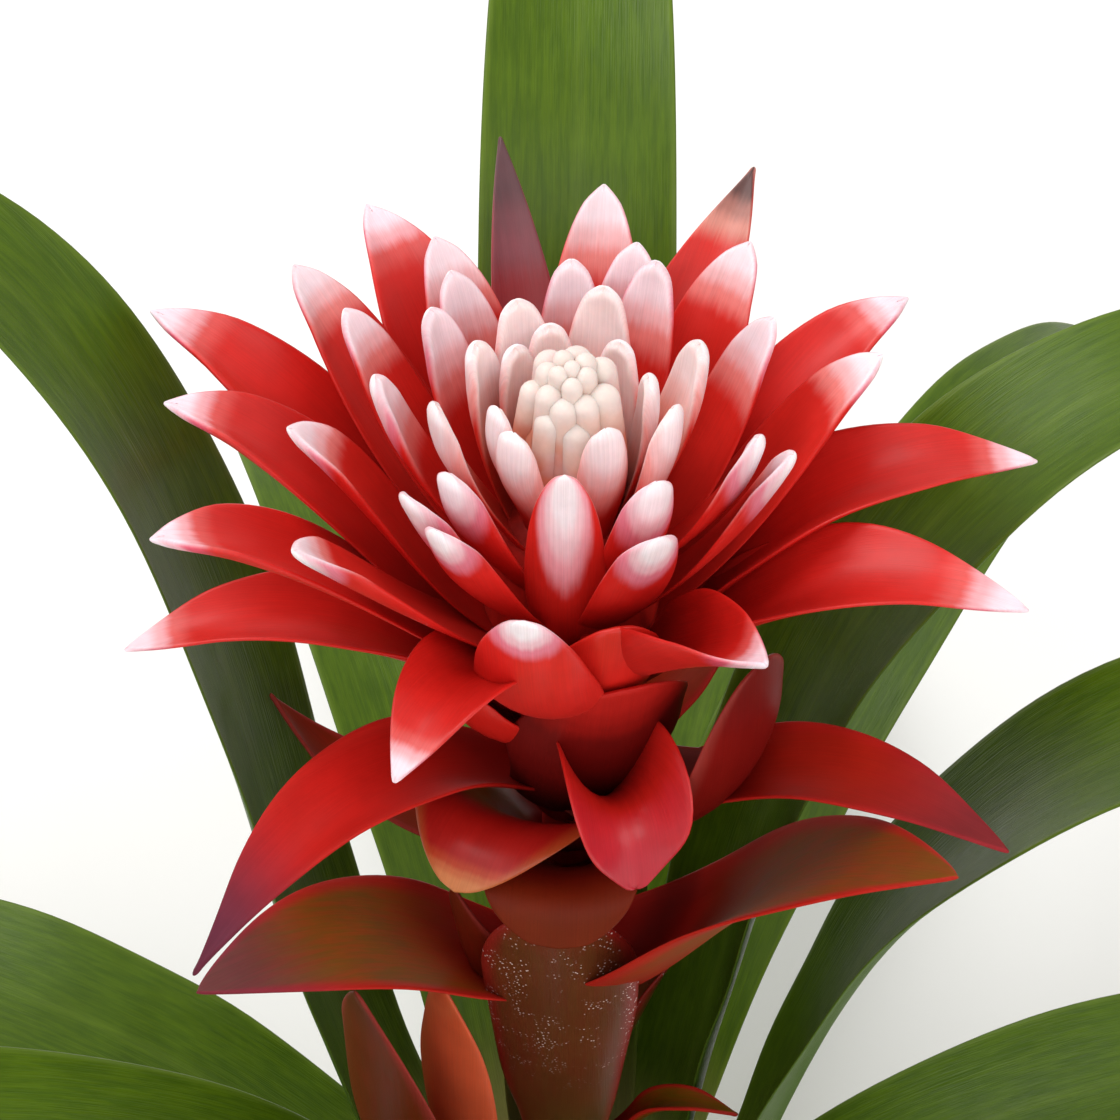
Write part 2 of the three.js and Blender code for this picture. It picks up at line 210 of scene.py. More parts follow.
@dataclass(frozen=True)
class Blade:
    """A leaf or bract: a closed skin round a sheet that wraps round the plant's axis."""

    azimuth: float
    midline: BractMidline | LeafMidline
    half_width: Profile
    lift: Profile
    thickness: Profile
    marks: Marks
    rows: int
    columns: int
    edge: float
    tip_round: float
    base_height: float = 0.0
    ripple: float = 0.0
    ripple_waves: float = 0.0

    def sheet(self, station: Station, t: float, u: float) -> Vector:
        """Finds a point of the middle sheet.

        Args:
            station: The midline at t.
            t: 0 at the root and 1 at the tip.
            u: From -1 to 1 across.

        Returns:
            The point, in millimetres.
        """
        turn = self.azimuth + u * min(math.degrees(self.half_width(t) / station.radius), WIDEST_WRAP)
        phase = self.ripple_waves * math.tau * t + self.marks.seed * 9 + u
        wave = self.ripple * math.sin(phase) * abs(u) ** 3
        raise_by = self.lift(t) * u * u + wave * smoothstep(t, 0.1, 0.4) * (1.0 - smoothstep(t, 0.8, 1.0))
        return around(
            turn,
            station.radius - raise_by * math.cos(station.lean),
            station.height + raise_by * math.sin(station.lean) + self.base_height,
        )

    def add_to(self, bm: Mesh) -> None:
        """Adds the blade's skin to a mesh: a grid rolled round the sheet, closed at its seam and both ends.

        Args:
            bm: The mesh that takes the skin.
        """
        place_layer, size_layer, tint_layer = [vector_layer(bm, name) for name in ("place", "size", "tint")]
        grid = bmesh.ops.create_grid(bm, x_segments=self.columns, y_segments=self.rows, size=0.5)["verts"]
        length = self.length()
        stations: dict[float, tuple[Station, Station, Station]] = {}
        for vert in grid:
            row = round(vert.co.y + 0.5, 5)
            t = math.sin(row * math.pi / 2) ** ROW_CROWDING if row < 1 else 1.0
            if row not in stations:
                shares = (t - SLOPE_STEP, t, t + SLOPE_STEP)
                stations[row] = tuple(self.midline.at(min(max(share, 0.0), 1.0)) for share in shares)
            before, here, after = stations[row]
            angle = (vert.co.x + 0.5) * math.tau
            u, side = math.cos(angle), math.sin(angle)
            ahead, behind = min(t + SLOPE_STEP, 1.0), max(t - SLOPE_STEP, 0.0)
            right, left = min(u + SLOPE_STEP, 1.0), max(u - SLOPE_STEP, -1.0)
            along = self.sheet(after, ahead, u) - self.sheet(before, behind, u)
            across = self.sheet(here, t, right) - self.sheet(here, t, left)
            normal = along.cross(across).normalized()
            ends = min(1.0, (1.0 - t) / self.tip_round, t / ROOT_ROUND)
            closing = math.sqrt(max(0.0, 1.0 - (1.0 - ends) ** 2))
            offset = math.copysign(abs(side) ** self.edge, side) * self.thickness(t) / 2 * closing
            centre = self.sheet(here, t, 0.0)
            point = centre.lerp(self.sheet(here, t, u), closing if row > 0 else 0.0) + normal * offset
            vert.co = point * MILLIMETRE
            vert[place_layer] = Vector((t, u, side))
            vert[size_layer] = Vector(((1.0 - t) * length, u * self.half_width(t), self.marks.seed))
            vert[tint_layer] = Vector((self.marks.pale_reach, self.marks.olive, self.marks.dusk))
        bmesh.ops.remove_doubles(bm, verts=grid, dist=MERGE_DISTANCE)

    def length(self) -> float:
        """Returns the midline's length in millimetres."""
        points = [self.midline.at(i / LENGTH_STEPS) for i in range(LENGTH_STEPS + 1)]
        return sum(math.hypot(b.radius - a.radius, b.height - a.height) for a, b in zip(points, points[1:]))


def vector_layer(bm: Mesh, name: str) -> bmesh.types.BMLayerItem:
    """Returns a mesh's vector layer of that name, added where it is missing."""
    layers = bm.verts.layers.float_vector
    return layers.get(name) or layers.new(name)


def bract_half_width(
    width: float, root_share: float, belly: float, roundness: float, tip_width: float
) -> Profile:
    """Gives a bract's half width along its length: a clasping root, a belly, and a round or drawn-out tip.

    Args:
        width: Greatest width.
        root_share: Share of the width at the root.
        belly: Where the bract is widest.
        roundness: Small for a round tip, near 1 for a drawn-out one.
        tip_width: Least width near the tip.

    Returns:
        The half width as a function of t.
    """
    def half(t: float) -> float:
        if t < belly:
            return width / 2 * lerp(root_share, 1.0, smoothstep(t, 0.0, belly))
        share = min((t - belly) / (1.0 - belly), 1.0)
        return max(width / 2 * (1.0 - share * share) ** roundness, tip_width / 2)

    return half


def turned(bm: Mesh, profile: Sequence[Pair], sides: int) -> None:
    """Adds a turned body to a mesh.

    Args:
        bm: The mesh that takes the body.
        profile: Radii and heights from the foot up, both ends on the axis.
        sides: Number of steps round.
    """
    verts = [bm.verts.new(Vector((0.0, -r, z)) * MILLIMETRE) for r, z in profile]
    edges = [bm.edges.new(pair) for pair in zip(verts, verts[1:])]
    bmesh.ops.spin(
        bm, geom=verts + edges, cent=(0, 0, 0), axis=(0, 0, 1), angle=math.tau, steps=sides, use_merge=True
    )
    bmesh.ops.remove_doubles(bm, verts=list(bm.verts), dist=MERGE_DISTANCE)


def placed(name: str, data: bpy.types.ID) -> bpy.types.Object:
    """Makes an object of some data and puts it in the scene."""
    made = bpy.data.objects.new(name, data)
    bpy.context.scene.collection.objects.link(made)
    return made


def make_piece(
    name: str, bm: Mesh, finish: "Finish", nodes: Iterable[str]
) -> None:
    """Turns a finished mesh into a piece that stands for its nodes of the frame.

    Args:
        name: Name of the piece.
        bm: Its mesh, freed here.
        finish: Its finish.
        nodes: The frame's nodes that it stands for.
    """
    bmesh.ops.recalc_face_normals(bm, faces=list(bm.faces))
    for face in bm.faces:
        face.smooth = True
    mesh = bpy.data.meshes.new(name)
    bm.to_mesh(mesh)
    bm.free()
    mesh.materials.append(finish.material())
    piece = placed(name, mesh)
    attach(piece, BODY)
    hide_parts(*nodes)
    LOG.info("%s: %d faces", name, len(mesh.polygons))


def bladed(blades: Iterable[Blade]) -> Mesh:
    """Returns a mesh of some blades."""
    bm = bmesh.new()
    for blade in blades:
        blade.add_to(bm)
    return bm


# Finishes


class Paint:
    """Builds one material's nodes, each from a short call."""

    def __init__(self, tree: bpy.types.NodeTree) -> None:
        """Keeps the node tree that the nodes go into."""
        self.tree = tree

    def node(self, kind: str, **settings: object) -> bpy.types.Node:
        """Adds a node and sets its properties."""
        made = self.tree.nodes.new(kind)
        for name, value in settings.items():
            setattr(made, name, value)
        return made

    def feed(self, socket: Socket, value: object) -> None:
        """Links a socket to another, or sets its value."""
        if isinstance(value, bpy.types.NodeSocket):
            self.tree.links.new(value, socket)
        else:
            socket.default_value = value

    def math(self, operation: str, *values: object, clamp: bool = False) -> Socket:
        """Adds a Math node and returns its value."""
        made = self.node("ShaderNodeMath", operation=operation, use_clamp=clamp)
        for socket, value in zip(made.inputs, values):
            self.feed(socket, value)
        return made.outputs[0]

    def ease(self, value: object, low: float, high: float, start: float = 0.0, end: float = 1.0) -> Socket:
        """Maps a value smoothly from low..high to start..end."""
        made = self.node("ShaderNodeMapRange", interpolation_type="SMOOTHSTEP")
        for socket, given in zip(made.inputs, (value, low, high, start, end)):
            self.feed(socket, given)
        return made.outputs[0]

    def mix(self, share: object, first: object, second: object, blend: str = "MIX") -> Socket:
        """Mixes two colours by a share."""
        made = self.node("ShaderNodeMix", data_type="RGBA", blend_type=blend)
        self.feed(made.inputs[0], share)
        for socket, value in zip((made.inputs[6], made.inputs[7]), (first, second)):
            self.feed(socket, value if isinstance(value, bpy.types.NodeSocket) else (*value, 1.0))
        return made.outputs[2]

    def ramp(self, value: Socket, stops: Sequence[tuple[float, Colour]]) -> Socket:
        """Reads a colour from a run of stops."""
        made = self.node("ShaderNodeValToRGB")
        made.color_ramp.interpolation = "EASE"
        elements = made.color_ramp.elements
        while len(elements) < len(stops):
            elements.new(1.0)
        for element, (place, colour) in zip(elements, stops):
            element.position = place
            element.color = (*colour, 1.0)
        self.feed(made.inputs[0], value)
        return made.outputs[0]

    def parts(self, vector: Socket) -> Sockets:
        """Splits a vector into its three numbers."""
        made = self.node("ShaderNodeSeparateXYZ")
        self.feed(made.inputs[0], vector)
        return tuple(made.outputs)

    def joined(self, *values: object) -> Socket:
        """Joins three numbers into a vector."""
        made = self.node("ShaderNodeCombineXYZ")
        for socket, value in zip(made.inputs, values):
            self.feed(socket, value)
        return made.outputs[0]

    def noise(self, vector: Socket, scale: float, detail: float = 2.0, roughness: float = 0.5) -> Socket:
        """Adds a Noise Texture and returns its factor."""
        made = self.node("ShaderNodeTexNoise")
        self.feed(made.inputs["Vector"], vector)
        for name, value in (("Scale", scale), ("Detail", detail), ("Roughness", roughness)):
            made.inputs[name].default_value = value
        return made.outputs["Fac"]

    def attribute(self, name: str) -> Socket:
        """Reads a vector attribute of the piece."""
        return self.node("ShaderNodeAttribute", attribute_name=name).outputs["Vector"]

    def object_place(self) -> Socket:
        """Reads the piece's own Object coordinates."""
        return self.node("ShaderNodeTexCoord").outputs["Object"]

    def group(self, tree: bpy.types.NodeTree, **values: object) -> bpy.types.Node:
        """Places a node group and feeds its inputs by name."""
        made = self.node("ShaderNodeGroup", node_tree=tree)
        for name, value in values.items():
            self.feed(made.inputs[name], value)
        return made

    def toned(self, colour: Socket, tone: Socket) -> Socket:
        """Multiplies a colour by a tone near 1."""
        return self.mix(1.0, colour, self.joined(tone, tone, tone), "MULTIPLY")

    def bump(self, height: Socket, strength: float, depth: float) -> Socket:
        """Adds a Bump node, with its depth in metres, and returns its normal."""
        made = self.node("ShaderNodeBump")
        made.inputs["Strength"].default_value = strength
        made.inputs["Distance"].default_value = depth
        self.feed(made.inputs["Height"], height)
        return made.outputs[0]


class Finish:
    """A finish of living tissue, whose material is built once and goes by its name."""

    name: str
    subsurface: float
    coat: float
    gloss: float

    def material(self) -> bpy.types.Material:
        """Finds the material, or builds it.

        Returns:
            The material of this finish.
        """
        if self.name in bpy.data.materials:
            return bpy.data.materials[self.name]
        material = bpy.data.materials.new(self.name)
        material.use_nodes = True
        paint = Paint(material.node_tree)
        inputs = material.node_tree.nodes["Principled BSDF"].inputs
        for socket, value in zip(("Base Color", "Roughness", "Normal"), self.looks(paint)):
            paint.feed(inputs[socket], value)
        inputs["Specular IOR Level"].default_value = self.gloss
        inputs["Subsurface Weight"].default_value = self.subsurface
        inputs["Subsurface Radius"].default_value = (1.0, 0.35, 0.25)
        inputs["Subsurface Scale"].default_value = 0.003
        inputs["Coat Weight"].default_value = self.coat
        inputs["Coat Roughness"].default_value = 0.22
        inputs["IOR"].default_value = 1.42
        return material

    def looks(self, paint: Paint) -> Sockets:
        """Builds the nodes of this finish.

        Args:
            paint: Where the nodes go.

        Returns:
            Its colour, its roughness and its normal.
        """
        raise NotImplementedError


class GrainGroup:
    """Node group of the fine lines that run along every blade, with a soft mottle."""

    NAME = "blade_grain"

    @classmethod
    def tree(cls) -> bpy.types.NodeTree:
        """Builds the group once.

        Returns:
            A node tree with inputs Size, Place and Fineness, and outputs Lines, Streaks and Mottle.
        """
        if cls.NAME in bpy.data.node_groups:
            return bpy.data.node_groups[cls.NAME]
        tree = bpy.data.node_groups.new(cls.NAME, "ShaderNodeTree")
        vector, number = "NodeSocketVector", "NodeSocketFloat"
        for name, kind in (("Size", vector), ("Place", vector), ("Fineness", number)):
            tree.interface.new_socket(name, in_out="INPUT", socket_type=kind)
        for name in ("Lines", "Streaks", "Mottle"):
            tree.interface.new_socket(name, in_out="OUTPUT", socket_type=number)
        paint = Paint(tree)
        given = paint.node("NodeGroupInput").outputs
        result = paint.node("NodeGroupOutput").inputs
        from_tip, across, seed = paint.parts(given["Size"])
        apart = paint.math("MULTIPLY", seed, 37.0)
        fine = paint.math("MULTIPLY", across, given["Fineness"])
        thin = paint.joined(fine, paint.math("MULTIPLY", from_tip, 0.02), apart)
        broad = paint.joined(
            paint.math("MULTIPLY", across, 0.55), paint.math("MULTIPLY", from_tip, 0.06), apart
        )
        paint.feed(result["Lines"], paint.noise(thin, scale=3.2, detail=2.0, roughness=0.6))
        paint.feed(result["Streaks"], paint.noise(broad, scale=1.6, detail=3.0, roughness=0.55))
        paint.feed(result["Mottle"], paint.noise(given["Place"], scale=90.0, detail=4.0, roughness=0.6))
        return tree


@dataclass(frozen=True)
class BractFinish(Finish):
    """Paint of a bract: two faces, olive and dusk where its marks ask, a rim, veins and white scales, and
    painted shade at the root.

    Each face is given as the web codes of its tip, of the blush below it, of its body and of its root. The
    root's colour is painted shade: each face darkens to it towards its root.
    """

    name: str
    outer: str
    inner: str
    olive: Colour = srgb("5E5A1C")
    dusk: Colour = srgb("5A2A3C")
    rim: Colour = srgb("B4241A")
    rim_share: float = 0.0
    vee: float = 0.55
    inner_reach: float = 1.7
    roughness: float = 0.42
    coat: float = 0.1
    subsurface: float = 0.14
    gloss: float = 0.4
    scurf: float = 0.0
    olive_from: float = 0.0

    def looks(self, paint: Paint) -> Sockets:
        """Builds the nodes of a bract. See Finish."""
        along, across, side = paint.parts(paint.attribute("place"))
        size = paint.attribute("size")
        from_tip, _, _ = paint.parts(size)
        pale_reach, olive, dusk = paint.parts(paint.attribute("tint"))
        grain = paint.group(GrainGroup.tree(), Size=size, Place=paint.object_place(), Fineness=1.6).outputs
        margin = paint.math("POWER", paint.math("ABSOLUTE", across), 1.8)
        stray = paint.math("MULTIPLY_ADD", grain["Streaks"], 0.3, -0.15)
        reach = paint.math("DIVIDE", from_tip, paint.math("MAXIMUM", pale_reach, 0.01))
        outer_reach = paint.math("ADD", paint.math("MULTIPLY_ADD", margin, self.vee, reach), stray)
        inner_reach = paint.math("ADD", paint.math("DIVIDE", reach, self.inner_reach), stray)
        outer = self._face(paint, self.outer, outer_reach, along)
        inner = self._face(paint, self.inner, inner_reach, along)
        colour = paint.mix(paint.ease(side, -0.25, 0.35), outer, inner)
        streaked = paint.ease(grain["Streaks"], 0.3, 0.7, 0.7, 1.0)
        far_enough = paint.ease(along, self.olive_from - 0.2, self.olive_from + 0.2)
        olive_share = paint.math("MULTIPLY", paint.math("MULTIPLY", olive, streaked, clamp=True), far_enough)
        inside_margin = paint.ease(margin, 0.55, 0.95, 1.0, 0.15)
        colour = paint.mix(paint.math("MULTIPLY", olive_share, inside_margin), colour, self.olive)
        rim_share = paint.ease(paint.math("ABSOLUTE", across), 0.72, 0.97, 0.0, self.rim_share)
        colour = paint.mix(rim_share, colour, self.rim)
        dusk_share = paint.math("MULTIPLY", dusk, paint.ease(from_tip, 6.0, 30.0, 1.0, 0.0), clamp=True)
        colour = paint.mix(dusk_share, colour, self.dusk)
        shade = paint.ease(grain["Mottle"], 0.3, 0.75, 0.9, 1.06)
        vein = paint.ease(grain["Lines"], 0.3, 0.7, 0.94, 1.04)
        colour = paint.toned(colour, paint.math("MULTIPLY", shade, vein))
        if self.scurf:
            colour = self._scurf(paint, colour, size, along)
        roughness = paint.math("MULTIPLY_ADD", grain["Mottle"], 0.16, self.roughness - 0.08)
        dimples = paint.math("MULTIPLY", grain["Mottle"], 0.5)
        relief = paint.math("MULTIPLY_ADD", grain["Lines"], 0.7, dimples)
        return colour, roughness, paint.bump(relief, strength=0.16, depth=0.0004)

    def _face(self, paint: Paint, codes: str, reach: Socket, along: Socket) -> Socket:
        """Paints one face, darkened by painted shade towards its root.

        Args:
            paint: Where the nodes go.
            codes: Its web codes.
            reach: Distance from the tip, in lengths of the pale tip.
            along: 0 at the root and 1 at the tip.

        Returns:
            The face's colour.
        """
        tip, blush, body, shaded_root = (srgb(code) for code in codes.split())
        between = tuple(lerp(a, b, 0.5) for a, b in zip(tip, blush))
        stops = ((0.0, tip), (0.2, tip), (0.36, between), (0.5, blush), (0.72, body), (1.0, body))
        pale = paint.ramp(paint.math("DIVIDE", reach, 2.4, clamp=True), stops)
        # Painted shade: the face darkens to its root colour from six tenths of its length down to the root.
        return paint.mix(paint.ease(along, 0.05, 0.6, 1.0, 0.0), pale, shaded_root)

    def _scurf(self, paint: Paint, colour: Socket, size: Socket, along: Socket) -> Socket:
        """Adds the small white scales, in patches on the half towards the tip."""
        cells = paint.node("ShaderNodeTexVoronoi", feature="F1")
        paint.feed(cells.inputs["Vector"], size)
        cells.inputs["Scale"].default_value = 1.25
        cells.inputs["Randomness"].default_value = 1.0
        dots = paint.ease(cells.outputs["Distance"], 0.12, 0.3, 1.0, 0.0)
        patch = paint.ease(paint.noise(size, scale=0.16, detail=2.0), 0.48, 0.6)
        band = paint.math("MULTIPLY", paint.ease(along, 0.5, 0.7), patch)
        share = paint.math("MULTIPLY", paint.math("MULTIPLY", dots, band), self.scurf)
        return paint.mix(share, colour, srgb("E9CFCB"))


@dataclass(frozen=True)
class LeafFinish(Finish):
    """Paint of the strap leaves: parallel veins, a paler keel, a tan sheath and a duller back."""

    name: str = "strap_leaf_green"
    face: Colour = srgb("4F680A")
    dark: Colour = srgb("3A540A")
    back: Colour = srgb("465E20")
    keel: Colour = srgb("6A8028")
    sheath: Colour = srgb("A89A62")
    subsurface: float = 0.0
    coat: float = 0.0
    gloss: float = 0.28

    def looks(self, paint: Paint) -> Sockets:
        """Builds the nodes of the leaves. See Finish."""
        along, across, side = paint.parts(paint.attribute("place"))
        size = paint.attribute("size")
        grain = paint.group(GrainGroup.tree(), Size=size, Place=paint.object_place(), Fineness=0.9).outputs
        margin = paint.math("ABSOLUTE", across)
        depth = paint.ease(grain["Streaks"], 0.3, 0.7, 0.1, 0.7)
        face = paint.mix(depth, self.face, self.dark)
        face = paint.mix(paint.ease(margin, 0.0, 0.12, 0.2, 0.0), face, self.keel)
        face = paint.mix(paint.ease(margin, 0.9, 1.0, 0.0, 0.5), face, self.keel)
        colour = paint.mix(paint.ease(side, -0.3, 0.3, 1.0, 0.0), face, self.back)
        colour = paint.mix(paint.ease(along, 0.04, 0.22, 1.0, 0.0), colour, self.sheath)
        vein = paint.ease(grain["Lines"], 0.25, 0.75, 0.93, 1.05)
        shade = paint.ease(grain["Mottle"], 0.3, 0.75, 0.93, 1.05)
        colour = paint.toned(colour, paint.math("MULTIPLY", vein, shade))
        roughness = paint.math("MULTIPLY_ADD", grain["Mottle"], 0.2, 0.26)
        return colour, roughness, paint.bump(grain["Lines"], strength=0.3, depth=0.0005)


@dataclass(frozen=True)
class StemFinish(Finish):
    """Paint of the stock and scape and of the head's core: two colours by height, scars and a cut face."""

    name: str
    low: Colour
    high: Colour
    scar: Colour
    cut: Colour
    subsurface: float = 0.05
    coat: float = 0.0
    gloss: float = 0.4

    def looks(self, paint: Paint) -> Sockets:
        """Builds the nodes of the stem. See Finish."""
        place = paint.object_place()
        _, _, height = paint.parts(place)
        stretched = paint.node("ShaderNodeMapping")
        paint.feed(stretched.inputs["Vector"], place)
        stretched.inputs["Scale"].default_value = (1.0, 1.0, 0.08)
        fibres = paint.noise(stretched.outputs[0], scale=420.0, detail=3.0)
        mottle = paint.noise(place, scale=110.0, detail=4.0)
        rise = paint.math("MULTIPLY", height, 900.0)
        rings = paint.math("SINE", paint.math("MULTIPLY_ADD", mottle, 1.5, rise))
        colour = paint.mix(paint.ease(height, 0.0, 0.12), self.low, self.high)
        colour = paint.mix(paint.ease(rings, 0.7, 1.0, 0.0, 0.55), colour, self.scar)
        colour = paint.mix(paint.ease(height, 0.0002, 0.0012, 1.0, 0.0), colour, self.cut)
        colour = paint.toned(colour, paint.ease(fibres, 0.3, 0.7, 0.85, 1.08))
        roughness = paint.math("MULTIPLY_ADD", mottle, 0.2, 0.45)
        relief = paint.math("MULTIPLY_ADD", rings, 0.3, fibres)
        return colour, roughness, paint.bump(relief, strength=0.35, depth=0.0005)


@dataclass(frozen=True)
class ConeFinish(Finish):
    """Paint of the cream buds: cream tops, salmon feet in the creases and a faint pink mottle."""

    name: str = "cone_cream"
    top: Colour = srgb("E4D4CC")
    middle: Colour = srgb("E6C6B8")
    foot: Colour = srgb("DE8A70")
    blush: Colour = srgb("E2BCBC")
    subsurface: float = 0.22
    coat: float = 0.1
    gloss: float = 0.4

    def looks(self, paint: Paint) -> Sockets:
        """Builds the nodes of the buds. See Finish."""
        along, _, _ = paint.parts(paint.attribute("place"))
        place = paint.object_place()
        mottle = paint.noise(place, scale=500.0, detail=3.0)
        patches = paint.noise(place, scale=160.0, detail=2.0)
        reach = paint.math("MULTIPLY_ADD", patches, 0.24, paint.math("SUBTRACT", along, 0.12), clamp=True)
        colours = (self.foot, self.foot, self.middle, self.top, self.top)
        colour = paint.ramp(reach, tuple(zip((0.0, 0.35, 0.62, 0.82, 1.0), colours)))
        colour = paint.mix(paint.ease(patches, 0.5, 0.75, 0.0, 0.5), colour, self.blush)
        colour = paint.toned(colour, paint.ease(mottle, 0.3, 0.75, 0.95, 1.03))
        roughness = paint.math("MULTIPLY_ADD", mottle, 0.15, 0.42)
        relief = paint.math("MULTIPLY_ADD", patches, 2.0, mottle)
        return colour, roughness, paint.bump(relief, strength=0.2, depth=0.0004)


# The last code of each face is its root colour, which is painted shade.
HEART = BractFinish(
    "heart_bract", "F4E6E8 EE9E98 DA3024 BC2018", "F4E0DE F0A494 DA4230 B8281C",
    vee=0.6, inner_reach=1.15, roughness=0.45, coat=0.08, subsurface=0.25,
)
HEAD = BractFinish(
    "head_bract", "F6EAEE E07C8E D2221B B01A13", "F2DAE0 E47E78 D2271E A81810",
    vee=0.7, inner_reach=1.0, subsurface=0.16,
)
OUTER = BractFinish(
    "outer_bract", "F8E2EA D65068 CC1E17 A01510", "F4D2DB D4504C CA1F18 A01510",
    inner_reach=0.95,
)
VEE = BractFinish(
    "vee_bract", "F0E2E6 ECA0AA D2271F BC2018", "FCF0EE F4B4A6 DC4836 B8281C",
    vee=1.5, roughness=0.45, coat=0.05, subsurface=0.2, gloss=0.3,
)
TAWNY = BractFinish(
    "tawny_bract", "5A3A36 C07A70 CC1E17 A01510", "5A3A36 D08A7C CA231A A01510",
    vee=1.2, inner_reach=1.0,
)
UNDER = BractFinish(
    "under_bract", "D82A20 D6241B D42018 B01A12", "D4281C CE221A C81E17 8C120C",
    inner_reach=1.0, roughness=0.38, coat=0.2,
)
SPINE = BractFinish(
    "spine_bract", "4E2E30 7A2C34 982028 A01510", "5A3A3E 82424A 8E2228 9C1410",
    roughness=0.4, coat=0.15,
)
POCKET = BractFinish(
    "pocket_bract", "B82430 C42428 CC221B 7A0E0C", "BC2836 C6242C CC211A 6E0C0A",
    roughness=0.38, coat=0.15,
)
CUP = BractFinish(
    "cup_bract", "C87A48 B8441F B02018 7E120E", "C87A48 B03A1C A41813 7A100C",
    rim=srgb("AC5C28"), rim_share=0.55, inner_reach=1.0, roughness=0.36, coat=0.15,
)
DOME = BractFinish(
    "dome_bract", "6C1E0A 76160A 86120B 600E08", "6C1E0A 76160A 84120B 520B07",
    olive=srgb("5E2E0A"), rim=srgb("662208"), rim_share=0.5, roughness=0.5, coat=0.0, subsurface=0.0,
    gloss=0.12,
)
# Painted shade: dark reds, with olive streaks and a paler rim, for bracts that sit in shade under the head
# and down the stalk.
PLUM_SHADE = BractFinish(
    "plum_bract_painted_shade", "6E1410 741210 7C120E 5E1A0E", "8E1A16 961410 9C140E 6A100A",
    olive=srgb("4E380E"), rim=srgb("A0453C"), rim_share=0.4, roughness=0.45, coat=0.0, subsurface=0.06,
    gloss=0.15,
)
# Painted shade: near-black reds for the bract deep in the hollow under the head, standing in for the shadow
# there.
THROAT_SHADE = BractFinish(
    "throat_bract_painted_shade", "B41C16 8E130E 6C0E0B 340605", "B41C16 8E130E 640D0A 340605",
    roughness=0.5, coat=0.0, subsurface=0.04, gloss=0.2,
)
SALMON = BractFinish(
    "salmon_bract", "C2502E CE5E38 CC5632 A82614", "B83A24 B8341F B02A1A 8A1C12",
    subsurface=0.3, gloss=0.3,
)
LOW = BractFinish(
    "low_bract", "942420 A81C16 B21811 96140D", "9C2420 B01C16 B61811 8E120C",
    olive=srgb("6C4C06"), rim=srgb("B8221A"), rim_share=0.6, roughness=0.55, coat=0.0, subsurface=0.08,
    gloss=0.14, olive_from=0.4,
)
STALK_BRACT = BractFinish(
    "stalk_bract_red", "6E1616 761614 6A1814 545018", "A8281E A4261A 922414 5C561C",
    olive=srgb("55481A"), rim=srgb("9A1E1A"), rim_share=0.5, roughness=0.38, coat=0.15, subsurface=0.08,
    gloss=0.35, scurf=0.85,
)
LEAF_GREEN = LeafFinish()
STOCK = StemFinish("stock", low=srgb("A79A66"), high=srgb("7F8C3A"), scar=srgb("8A6A3C"), cut=srgb("D8CFA2"))
CORE = StemFinish(
    "head_core", low=srgb("5E5A22"), high=srgb("BC2016"), scar=srgb("8A1A12"), cut=srgb("8A1A12")
)
CONE_CREAM = ConeFinish()


# The plant's parts


@dataclass(frozen=True)
class LeafHabit:
    """How a leaf grew apart from the rule. None keeps to the rule."""

    tip_lean: float = 142.0
    power: float | None = None
    length: float | None = None
    bow: float = 0.0
    sway: float = 0.0
    root_lean: float | None = None


@dataclass
class LeafRosette:
    """The strap leaves in their spiral round the stock, from the innermost to the outermost."""

    count: int = 14
    first_azimuth: float = 179.0
    half_width: float = 21.0
    sheath_half_angle: float = 50.0
    thickness: float = 0.8
    habits: dict[int, LeafHabit] = field(
        default_factory=lambda: {
            0: LeafHabit(127, 3.0, 410),
            1: LeafHabit(128, 1.7, 360, sway=8, root_lean=22),
            2: LeafHabit(145, 4.5, 345, bow=6, sway=13),
            3: LeafHabit(105, 9.0, 365, bow=24, sway=27, root_lean=31),
            7: LeafHabit(120, 2.6, 370, bow=18, sway=14),
            10: LeafHabit(sway=-18),
        }
    )

    def blade(self, order: int) -> Blade:
        """Shapes one leaf.

        Args:
            order: Its place from the inside.

        Returns:
            Its blade.
        """
        place = order / (self.count - 1)
        root_height = lerp(31, 3, place)
        habit = self.habits.get(order, LeafHabit())
        root_radius = lerp(24, 8, root_height / 36) + self.thickness / 2 + 2 * CLEARANCE
        sheath = root_radius * math.radians(self.sheath_half_angle)
        midline = LeafMidline(
            root=(root_radius, root_height),
            length=habit.length or lerp(400, 290, place),
            root_lean=habit.root_lean or lerp(9, 33, place),
            tip_lean=habit.tip_lean,
            power=habit.power or lerp(1.5, 0.95, place),
            bow=habit.bow,
        )

        def half(t: float) -> float:
            """Widens the leaf from its sheath to its blade and narrows it to its tip."""
            blade = self.half_width * lerp(0.8, 1.0, smoothstep(t, 0.1, 0.5)) * max(1.0 - t**7, 0.0) ** 0.8
            return max(lerp(sheath, blade, smoothstep(t, 0.0, 0.16)), 0.5)

        return Blade(
            azimuth=self.first_azimuth + order * GOLDEN_ANGLE + habit.sway,
            midline=midline,
            half_width=half,
            lift=lambda t: 4 * smoothstep(t, 0.1, 0.35) * (1 - 0.5 * t),
            thickness=lambda t: self.thickness * 1.1,
            marks=Marks(seed=order + 0.5),
            rows=84,
            columns=36,
            edge=0.35,
            ripple=0.5,
            ripple_waves=4.0 + order % 3,
            tip_round=0.004,
        )

    def build(self) -> None:
        """Makes a piece of each leaf."""
        for order in range(self.count):
            label = f"{order + 1:02d}"
            bm = bladed([self.blade(order)])
            make_piece(f"strap_leaf_{label}", bm, LEAF_GREEN, [f"leaf_{label}"])


